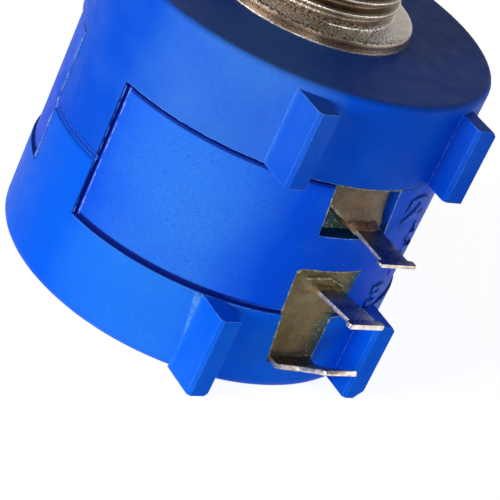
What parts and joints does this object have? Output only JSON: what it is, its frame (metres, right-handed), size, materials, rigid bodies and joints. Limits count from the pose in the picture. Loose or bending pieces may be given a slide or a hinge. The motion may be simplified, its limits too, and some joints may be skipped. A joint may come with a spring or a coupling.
{
  "type": "multi-turn potentiometer",
  "caption": "Ten-turn wirewound panel potentiometer: round blue body, threaded bushing, slotted shaft, side solder lugs, and a helical element with a sliding wiper inside.",
  "frame": {"origin": "centre of the mounting face, the top of the bushing's flange, on the shaft's axis", "axes": "+Z out along the shaft; the three solder lugs point along -Y"},
  "size_m": [0.0222, 0.0262, 0.0398],
  "materials": {
    "blue_moulding": "moulded, fine matt grain",
    "bushing_plate": "satin nickel plate over brass, warm",
    "shaft_steel": "turned, satin",
    "spring_bronze": "rolled strip",
    "nylon": "moulded",
    "resistance_wire": "close-wound fine wire",
    "tinned_lug": "tinned, worn",
    "epoxy": "cast potting compound, uneven"
  },
  "bodies": {
    "housing_body": {"front_shell": "blue_moulding", "rear_shell": "blue_moulding", "element_housing": "blue_moulding", "bushing": "bushing_plate", "thrust_washer": "spring_bronze", "slip_ring_brush": "spring_bronze", "resistance_element": "resistance_wire", "front_tap": "tinned_lug", "rear_tap": "tinned_lug", "front_lug": "tinned_lug", "middle_lug": "tinned_lug", "rear_lug": "tinned_lug", "front_epoxy": "epoxy", "rear_epoxy": "epoxy", "rear_bearing": "spring_bronze"},
    "rotor_body": {"shaft": "shaft_steel", "retaining_ring": "shaft_steel", "rotor": "nylon", "guide_rail": "shaft_steel", "contact_rail": "spring_bronze", "slip_ring": "spring_bronze"},
    "carriage_body": {"wiper_carriage": "nylon", "wiper_contact": "spring_bronze", "return_contact": "spring_bronze"}
  },
  "joints": [
    {"name": "shaft_turn", "type": "hinge", "parent": "housing_body", "child": "rotor_body", "pos_m": [0, 0, 0], "axis": [0, 0, 1], "range_deg": [-1800, 1800]},
    {"name": "carriage_slide", "type": "slide", "parent": "rotor_body", "child": "carriage_body", "axis": [0, 0, 1], "range_m": [-0.00551, 0.00551]}
  ],
  "couplings": [
    {"joint": "carriage_slide", "follows": "shaft_turn", "m_per_rad": 0.00017507}
  ]
}
